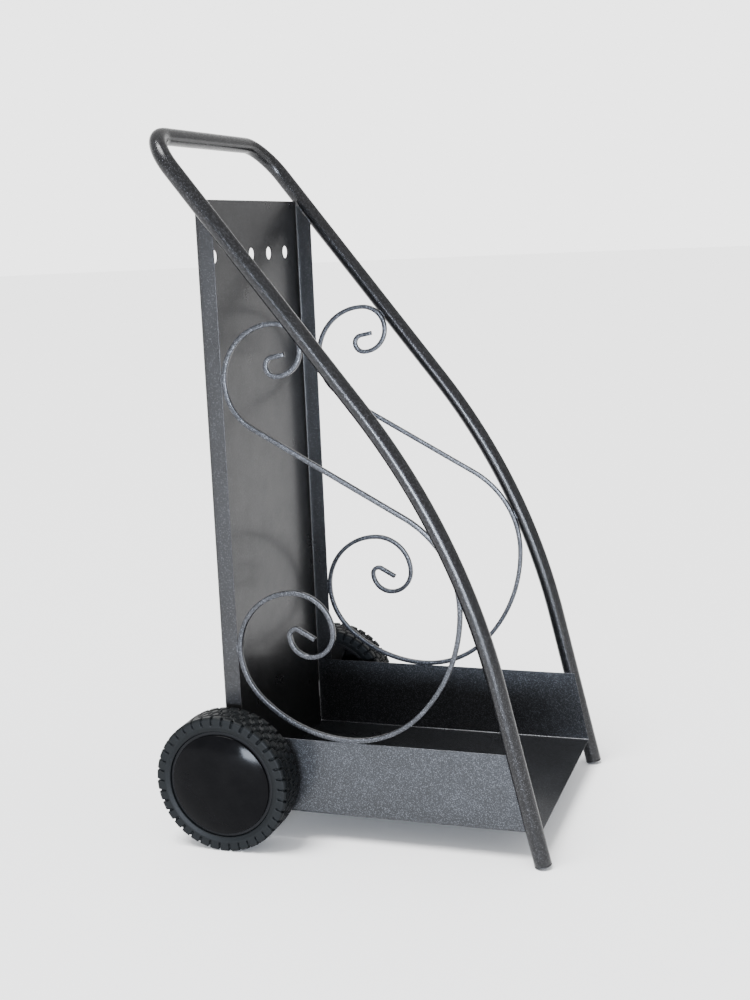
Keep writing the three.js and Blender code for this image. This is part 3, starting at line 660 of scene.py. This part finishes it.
# %% Scroll bars
BAR_CORNER = 0.9  # mm
END_INSET, END_PUSH = 0.86, 0.5  # share of the section, and mm, that ease the bar's ends
square = soften(half_bar * np.array([[-1, -1], [1, -1], [1, 1], [-1, 1]]), BAR_CORNER)
for name, side in (("left", -1), ("right", 1)):
    centres = np.insert(scroll_line, 0, side * SCROLL_X, axis=1)
    up = np.stack([0 * scroll_heading, -np.sin(scroll_heading), np.cos(scroll_heading)], -1)
    across = np.tile([1.0, 0, 0], (len(up), 1))
    grid = carry(square, centres, across, up)
    inset = carry(square * END_INSET, centres[[0, -1]], across[[0, -1]], up[[0, -1]])
    along = np.cross(across, up)
    grid[0] += END_PUSH * np.sign(along[0] @ (centres[1] - centres[0])) * along[0]
    grid[-1] -= END_PUSH * np.sign(along[-1] @ (centres[-1] - centres[-2])) * along[-1]
    tips = np.repeat(centres[[0, -1], None], len(square), 1)
    grid = np.concatenate([tips[:1], inset[:1], grid, inset[1:], tips[1:]])
    # The bars take the scroll coat, whose paler flakes are a painted highlight.
    dress(skin(f"scroll_bar_{name}", grid, scroll_coat), "frame", "scroll_coat",
          f"scroll_{name}")

# %% [markdown]
# ## Weld beads
# The scrolls are held by short welds under the coat, where the bar touches flange, tray and tube,
# and the tube is welded to the sheet. A bump could hint at them, but from the side they stand
# proud. So a bead is a small swollen strip: its radius follows a half ellipse along its length,
# with the ripples that the welder's stops leave.

# %% One weld bead
RIPPLE = 0.14  # height of a ripple against the bead's radius
SQUASH = 0.7  # a bead is flatter than it is wide


def bead(start, end, radius, ripples):
    """Surface round the line start to end. For t from -1 to 1 along it, the radius is
    sqrt(1 - t^2) times 1 + RIPPLE times the sine of 3.1 t times the number of ripples."""
    start, end = np.asarray(start, float), np.asarray(end, float)
    t = np.cos(np.linspace(math.pi, 0, 25))[:, None]
    angle = np.linspace(0, 2 * math.pi, 14, endpoint=False)[None, :]
    swell = radius * np.sqrt(np.clip(1 - t ** 2, 0, 1)) * (1 + RIPPLE * np.sin(t * ripples * 3.1))
    along = (end - start) / np.linalg.norm(end - start)
    one = np.cross(along, [0.3, 0.5, 0.8])
    one /= np.linalg.norm(one)
    two = np.cross(along, one)
    return ((start + end) / 2 + t[:, :, None] * (end - start) / 2
            + (swell * np.cos(angle))[:, :, None] * one
            + (swell * SQUASH * np.sin(angle))[:, :, None] * two)


def several(name, grids, material):
    """Grids of one shape each, closed round their columns, as one piece."""
    points, faces, count = [], [], 0
    for grid in grids:
        rows, columns = grid.shape[:2]
        points.append(grid.reshape(-1, 3))
        faces.append(grid_faces(rows, columns) + count)
        count += rows * columns
    return make_piece(name, np.concatenate(points), np.concatenate(faces), material)


def on_scroll(index, reach):
    """Two points of the scroll's line, `reach` mm before and after a station."""
    direction = np.array([math.cos(scroll_heading[index]), math.sin(scroll_heading[index])])
    return scroll_line[index] - reach * direction, scroll_line[index] + reach * direction


# %% Where the bar is welded
HALF_WAY_Z = 500.0  # below it lies the ring, above it the curl
FAR = 1e9
lowest = int(np.argmin(scroll_line[:, 1]))
start_ring = len(eye) - 1
curl_y = np.where(top[:, 1] > HALF_WAY_Z, top[:, 0], -FAR)
curl_rear = start_ring + len(ring) - 1 + int(np.argmax(curl_y))
from_bend = np.linalg.norm(scroll_line - BEND_CENTRE, axis=1)
at_bend = int(np.argmax(np.where(scroll_line[:, 1] < HALF_WAY_Z, from_bend, 0)))
from_top = (scroll_line - BEND_END) @ behind(TOP_LEAN)
at_top = int(np.argmin(np.where(scroll_line[:, 1] > HALF_WAY_Z + 100, from_top, FAR)))
print("welds at (y, z):", [scroll_line[i].round().tolist() for i in
                           (lowest, start_ring, curl_rear, at_bend, at_top)])

# %% Weld beads
BEND_LEAN = math.radians(22)  # of the tube where the ring touches it
UNDER_BAR = 3.1  # mm from the bar's middle line to its weld
LEG_SEAM = 9.5 * behind(LEG_LEAN)  # from the leg's centre line back to its weld
flange_start = (FLANGE_FRONT_Y - slant[0]) / math.sin(TOP_LEAN)
for name, side in (("left", -1), ("right", 1)):
    beads = []
    for index, reach, push in ((lowest, 6, (0, -UNDER_BAR)), (start_ring, 7, (UNDER_BAR, 0)),
                               (curl_rear, 6, (UNDER_BAR, 0))):
        for shift in (-1, 1):
            ends = np.array(on_scroll(index, reach)) + push
            beads.append(bead(*np.insert(ends, 0, side * (SCROLL_X + shift * 1.6), axis=1), 1.5, 5))
    for index, reach in ((at_bend, 8), (at_top, 6)):
        lean = behind(TOP_LEAN if index == at_top else BEND_LEAN)
        ends = np.array(on_scroll(index, reach)) - 3.6 * lean
        beads.append(bead(*np.insert(ends, 0, side * (SCROLL_X + 2.2), axis=1), 2.2, 6))
    for height in (TRAY_UNDER_Z + 8, TRAY_TOP_Z - 26):
        ends = np.array([leg_at(height), leg_at(height + 20)]) + LEG_SEAM
        beads.append(bead(*np.insert(ends, 0, side * (HALF_BODY + 1.4), axis=1), 2.6, 8))
    for start in (2, 21):
        ends = slant + (flange_start + start + np.array([[0], [12]])) * up_along(TOP_LEAN)
        beads.append(bead(*np.insert(ends, 0, side * (HALF_BODY + 1.0), axis=1), 2.4, 6))
    # The beads take the scroll coat, whose paler flakes are a painted highlight.
    dress(several(f"weld_beads_{name}", beads, scroll_coat), "frame", "frame_coat")

# %% [markdown]
# ## Tyre
# A solid rubber tyre, 180 mm across and 46 mm wide. Thirty-eight blocks run over each shoulder,
# with narrow slits between them, and two staggered rows of hexagons fill the middle of the tread.
# Separate blocks would need joining to the tyre. So the plain section is resampled along its
# length, turned, and every point pressed in by the depth of the pattern at its place.

# %% Tyre section
WHEEL_R = 90.0
TYRE_SEAT_R = 71.0  # where the rubber sits on the rim
WHEEL_MID = 204.0  # middle plane of a wheel, from the middle of the cart
HALF_TREAD, HALF_TYRE = 21, 23
SHOULDER_R, BEAD_R = 87.5, 77
BLOCKS = 38
PITCH = 2 * math.pi * WHEEL_R / BLOCKS
ROW = PITCH * math.sqrt(3) / 2


def step_up(value, start, end):
    """Smooth step from 0 at `start` to 1 at `end`: 3 t^2 - 2 t^3."""
    t = np.clip((value - start) / (end - start), 0, 1)
    return t * t * (3 - 2 * t)


def tyre_section():
    """Points (radius, across), normals and distance across the tread, unrolled over the
    shoulders; close together on tread and shoulders, wide apart on the seat."""
    half = np.array([[TYRE_SEAT_R, HALF_TREAD], [BEAD_R, HALF_TYRE], [SHOULDER_R, HALF_TYRE],
                     [WHEEL_R, HALF_TREAD]])
    corners = np.concatenate([half * [1, -1], half[::-1]])
    outline = soften(corners, [1.0, 6, 1.6, 1.6, 1.6, 1.6, 6, 1.0], 6)
    run = np.concatenate([[0], np.cumsum(np.linalg.norm(np.diff(outline, axis=0), axis=1))])
    middle = run[-1] / 2
    places = np.concatenate([np.linspace(0, 6.4, 8)[:-1], np.linspace(6.4, run[-1] - 6.4, 92),
                             np.linspace(run[-1] - 6.4, run[-1], 8)[1:]])
    points = np.stack([np.interp(places, run, outline[:, k]) for k in (0, 1)], -1)
    tangent = np.gradient(points, places, axis=0)
    normal = np.stack([tangent[:, 1], -tangent[:, 0]], -1)
    normal /= np.linalg.norm(normal, axis=1)[:, None]
    return points, normal, places - middle


# %% Tread pattern
SLIT, SLIT_DEPTH = 1.4, 3.0  # mm, half the slit's width and its depth
RIDGE, GROOVE = (0.65, 1.1), (2.6, 3.2)  # mm from a cell's border to where each ends
GROOVE_DEPTH, PAD_DEPTH = 2.1, 0.3
SLIT_END = (78.5, 81)  # radii between which the slits run out
SLANT_START, SLANT = 22, 0.09  # down the sidewall the slits lean a little


def pattern_depth(around, across, radius):
    """Depth in mm at `around` mm of arc and `across` mm of unrolled width. The nearest of four
    rows of cells gives m = max(|a|, |a| / 2 + |b| * 0.866), which is half a pitch on a border."""
    depth = np.zeros(np.broadcast_shapes(around.shape, across.shape))
    best = depth + FAR
    lug = depth > 0
    for row, centre in enumerate((-1.5, -0.5, 0.5, 1.5)):
        outer_row = abs(centre) > 1
        slanted = around + np.clip(np.abs(across) - SLANT_START, 0, 20) * SLANT
        a = np.abs((slanted / PITCH + row / 2 + 0.5) % 1 - 0.5) * PITCH
        b = np.abs(across - centre * ROW)
        if outer_row:
            b = np.where(across * np.sign(centre) > 1.5 * ROW, 0, b)
        m = np.maximum(a, a / 2 + b * math.sqrt(3) / 2)
        nearer = m < best
        best = np.where(nearer, m, best)
        lug = np.where(nearer, outer_row, lug)
    border = PITCH / 2 - best
    honeycomb = step_up(border, *RIDGE) * step_up(border, *GROOVE[::-1]) * GROOVE_DEPTH
    honeycomb = honeycomb + PAD_DEPTH * step_up(border, *GROOVE)
    slit = step_up(border, SLIT + 0.35, SLIT - 0.35) * SLIT_DEPTH * step_up(radius, *SLIT_END)
    return np.where(lug, slit, honeycomb)


# %% Tyres
POINTS_PER_BLOCK = 22
section, normal, across = tyre_section()
angle = np.linspace(0, 2 * math.pi, BLOCKS * POINTS_PER_BLOCK, endpoint=False)[None, :]
depth = pattern_depth(angle * WHEEL_R, across[:, None], section[:, :1])
pressed = section[:, None, :] - depth[:, :, None] * normal[:, None, :]
tread = np.stack([pressed[..., 0] * np.cos(angle), pressed[..., 0] * np.sin(angle),
                  WHEEL_MID + pressed[..., 1]], -1)
for name, side in (("left", -1), ("right", 1)):
    dress(skin(f"tyre_rubber_{name}", at_wheel(tread, side), rubber, wrap_rows=True),
          f"{name}_wheel", "tyre_rubber", f"tyre_{name}")
print("tyre section points", len(section), "deepest", round(float(depth.max()), 2))

# %% [markdown]
# ## Rim and hub cap
# The rim is a black moulding: barrel, disc, hub and eight ribs towards the cart. The hub cap is a
# shallow dome that snaps into it. Both could be modelled as solid discs, but the rim is seen from
# behind and the cap has a thin wall, so each outline goes right round its section. Outline points
# are (radius, distance from the cart's middle).

# %% Rim
RIB_COUNT = 8
rim_r, rim_in, hub_r, bore = TYRE_SEAT_R - SEAT, 65.7, 16.0, 9.3
rim_outline = soften([[bore, 183], [hub_r, 183], [hub_r, 201], [rim_in, 201], [rim_in, 185],
                      [rim_r, 185], [rim_r, 223], [rim_in, 223], [rim_in, 207], [hub_r, 207],
                      [hub_r, 208.7], [bore, 208.7]],
                     [0.4, 1, 2, 2, 0.8, 0.8, 0.8, 0.8, 2, 0.3, 0.4, 0.4])
rib_profile = soften([[-1.25, 188], [1.25, 188], [1.25, 204], [-1.25, 204]], 0.5)


def rib(angle):
    """A radial bar from inside the hub wall to inside the barrel, closed at both ends."""
    stations = np.array([hub_r - 3, hub_r - 3, rim_in + 2.5, rim_in + 2.5])[:, None]
    shape = np.stack([rib_profile, rib_profile])[[0, 0, 1, 1]].copy()
    shape[[0, 3]] = shape[[0, 3]].mean(1, keepdims=True)
    x = stations * math.cos(angle) - shape[..., 0] * math.sin(angle)
    y = stations * math.sin(angle) + shape[..., 0] * math.cos(angle)
    return np.stack([x, y, shape[..., 1]], -1)


def ring_grid(outline, sides=96):
    """A turned outline whose last point leads back to its first."""
    return turn(np.concatenate([outline, outline[:1]]), sides)


for name, side in (("left", -1), ("right", 1)):
    ribs = [rib((k + 0.5) * 2 * math.pi / RIB_COUNT) for k in range(RIB_COUNT)]
    placed = [at_wheel(grid, side) for grid in [ring_grid(rim_outline)] + ribs]
    dress(several(f"rim_{name}", placed, rim_plastic), f"{name}_wheel", "rim_plastic",
          f"wheel_rim_{name}")

# %% Hub cap


def crown(radius, rise, base):
    """Arc over the axis: r = B sin(a), height = base + rise - B (1 - cos(a))."""
    ball = (radius ** 2 + rise ** 2) / (2 * rise)
    angle = np.linspace(math.asin(radius / ball), 0, 25)
    return np.stack([ball * np.sin(angle), base + rise - ball * (1 - np.cos(angle))], -1)


dome = crown(66.5, 9.2, 225.8)
cap_edge = soften([[63.4, 213.3], [65.4, 213.3], [65.4, 223.3], [66.5, 223.3], dome[0], dome[4]],
                  [0.4, 0.4, 0, 0.4, 1.8, 0], 5)[:-1]
cap_outline = np.concatenate([crown(63.4, 9, 224)[::-1], cap_edge, dome[4:]])
for name, side in (("left", -1), ("right", 1)):
    dress(skin(f"cap_{name}", at_wheel(turn(cap_outline, 128), side), cap_gloss),
          f"{name}_wheel", "cap_plastic", f"hub_cap_{name}")

# %% [markdown]
# ## Stub axles and fasteners
# The stub axle is welded to the tray wall by its flange. It, its inner washer and the inner bush
# show from below and behind, so they are turned anew with soft edges. Bush, washer and lock nut
# behind the cap could be too, but nobody sees them: they stay as the CAD made them, with their
# real finish.

# %% Stub axles and fasteners
stub_outline = soften([[0, 169.3], [18, 169.3], [18, 172.3], [10, 172.3], [10, 177.6], [6, 177.6],
                       [6, 228], [0, 228]], [0, 0.5, 0.8, 1.2, 0.5, 0.2, 0.9, 0])
washer_outline = soften([[6.3, 177.9], [11, 177.9], [11, 180.4], [6.3, 180.4]], 0.4)
bush_outline = soften([[6.3, 180.7], [12, 180.7], [12, 182.7], [9, 182.7], [9, 192.7],
                       [6.3, 192.7]], [0.3, 0.5, 0.4, 0, 0.3, 0.2])
for name, side in (("left", -1), ("right", 1)):
    dress(skin(f"stub_axle_{name}", at_wheel(turn(stub_outline, 48), side), frame_coat), "frame",
          "frame_coat", f"axle_stub_{name}")
    dress(skin(f"washer_{name}", at_wheel(ring_grid(washer_outline, 48), side), zinc),
          "frame", "zinc_steel", f"inner_washer_{name}")
    dress(skin(f"bush_{name}", at_wheel(ring_grid(bush_outline, 48), side), nylon),
          f"{name}_wheel", "bush_nylon", f"inner_bush_{name}")
    for node, material in (("outer_bush", nylon), ("outer_washer", zinc), ("lock_nut", zinc)):
        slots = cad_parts[f"{node}_{name}"].data.materials
        slots.clear()
        slots.append(material)

# %% [markdown]
# ## Studio
# The cart stands on a wide pale floor in soft light. One big lamp would do for the floor, but
# dark glossy steel shows only what it mirrors. So two softboxes stand low on the left for tray
# wall, scrolls and hub cap, a wide sun from above lights the upper sides, and the world beyond
# the cart is brighter low down, so that floor and background run into one another.

# %% Floor
FLOOR_RINGS = np.array([0, 1500, 8000, 40000])  # mm
# Matt emulsion paint: nearly white and without a reflection of the cart.
floor_paint, tree, _ = start_material("pale_floor")
finish_material(tree, {"Base Color": colour("fafafa"), "Roughness": 0.9,
                "Specular IOR Level": 0.2})
angle = np.linspace(0, 2 * math.pi, 96, endpoint=False)
disc = np.stack([np.cos(angle), np.sin(angle), 0 * angle], -1)
floor_piece = skin("floor", disc[None] * FLOOR_RINGS[:, None, None], floor_paint)
if floor_piece.data.polygons[0].normal.z < 0:
    floor_piece.data.flip_normals()
print("floor", 2 * FLOOR_RINGS[-1] * MM, "m across")

# %% Lights
SOFTBOX_TINT = "e4efff"  # a shade cooler than the sun


def soft_light(name, place, aim, width, height, watts):
    """A rectangular area light at a place in metres that faces a point."""
    data = bpy.data.lights.new(name, "AREA")
    data.shape, data.size, data.size_y, data.energy = "RECTANGLE", width, height, watts
    data.color = colour(SOFTBOX_TINT)[:3]
    lamp = bpy.data.objects.new(name, data)
    place, aim = np.array(place, float), np.array(aim, float)
    back = (place - aim) / np.linalg.norm(place - aim)
    lamp.location = place.tolist()
    lamp.rotation_mode = "QUATERNION"
    lamp.rotation_quaternion = Vector((-back).tolist()).to_track_quat("-Z", "Y")
    lamp.visible_camera = False
    bpy.context.scene.collection.objects.link(lamp)


soft_light("softbox", (-4.5, 0.15, 0.34), (0, 0.15, 0.3), 0.9, 0.66, 290)
soft_light("low_wall", (-4.6, -1.0, 0.27), (0.1, 0.05, 0.25), 1.35, 0.45, 170)
overhead_data = bpy.data.lights.new("overhead", "SUN")
overhead_data.energy, overhead_data.angle = 6.0, math.radians(30)
overhead = bpy.data.objects.new("overhead", overhead_data)
overhead.rotation_euler = (math.radians(-12), math.radians(-16), 0)
bpy.context.scene.collection.objects.link(overhead)

# %% World
GLOW_SIDE = (0.8, 0.6, 0)  # where the world is brighter: beyond the cart, low down
DIM, GLOW = 1.2, 3.3  # its strength elsewhere and there
world = bpy.data.worlds.new("studio")
bpy.context.scene.world = world
world.use_nodes = True
tree = world.node_tree
tree.nodes.clear()
direction = add(tree, "ShaderNodeTexCoord").outputs["Generated"]
facing = add(tree, "ShaderNodeVectorMath", {0: direction, 1: GLOW_SIDE},
             operation="DOT_PRODUCT").outputs["Value"]
rise = add(tree, "ShaderNodeSeparateXYZ", {0: direction}).outputs["Z"]
ahead = add(tree, "ShaderNodeMapRange", {"Value": facing, "From Min": 0.5, "From Max": 0.85},
            interpolation_type="SMOOTHSTEP").outputs["Result"]
lower = add(tree, "ShaderNodeMapRange", {"Value": rise, "From Min": 0.5, "From Max": 0.13},
            interpolation_type="SMOOTHSTEP").outputs["Result"]
band = add(tree, "ShaderNodeMath", {0: ahead, 1: lower}, operation="MULTIPLY").outputs["Value"]
strength = add(tree, "ShaderNodeMapRange", {"Value": band, "To Min": DIM, "To Max": GLOW})
sky = add(tree, "ShaderNodeBackground", {"Color": colour("ffffff"),
          "Strength": strength.outputs["Result"]})
add(tree, "ShaderNodeOutputWorld", {"Surface": sky.outputs["Background"]})

# %% [markdown]
# ## Camera
# Table height, about 1.9 m from the cart, looking down 10.5 degrees from the left. A camera could
# be placed by eye, but then no edge would lie on its place. These numbers come from fitting a
# pinhole camera to the cart's own edges, in an image of 750 by 1000.

# %% Camera
AZIMUTH, ELEVATION, ROLL = np.radians([-71.416, 10.523, -2.359])
PLACE = np.array([-1785.75, -756.53, 776.34])  # mm, y from the axle
FOCAL_PX, CENTRE_X, CENTRE_Y = 1418.48, 380.48, 496.52  # pixels
IMAGE_W, IMAGE_H, SENSOR = 750, 1000, 36
forward = np.array([-math.sin(AZIMUTH) * math.cos(ELEVATION),
                    math.cos(AZIMUTH) * math.cos(ELEVATION), -math.sin(ELEVATION)])
level = np.cross(forward, [0, 0, 1])
level /= np.linalg.norm(level)
right = math.cos(ROLL) * level + math.sin(ROLL) * np.cross(level, forward)
upward = np.cross(right, forward)
camera_data = bpy.data.cameras.new("camera")
camera_data.lens = FOCAL_PX / IMAGE_H * SENSOR
camera_data.sensor_width = SENSOR
camera_data.shift_x = (IMAGE_W / 2 - CENTRE_X) / IMAGE_H
camera_data.shift_y = (CENTRE_Y - IMAGE_H / 2) / IMAGE_H
camera = bpy.data.objects.new("camera", camera_data)
bpy.context.scene.collection.objects.link(camera)
matrix = np.eye(4)
matrix[:3, 0], matrix[:3, 1], matrix[:3, 2] = right, upward, -forward
matrix[:3, 3] = (PLACE + [0, AXLE_Y, 0]) * MM
camera.matrix_world = Matrix(matrix.tolist())
bpy.context.scene.camera = camera
print("lens mm", round(camera_data.lens, 2))
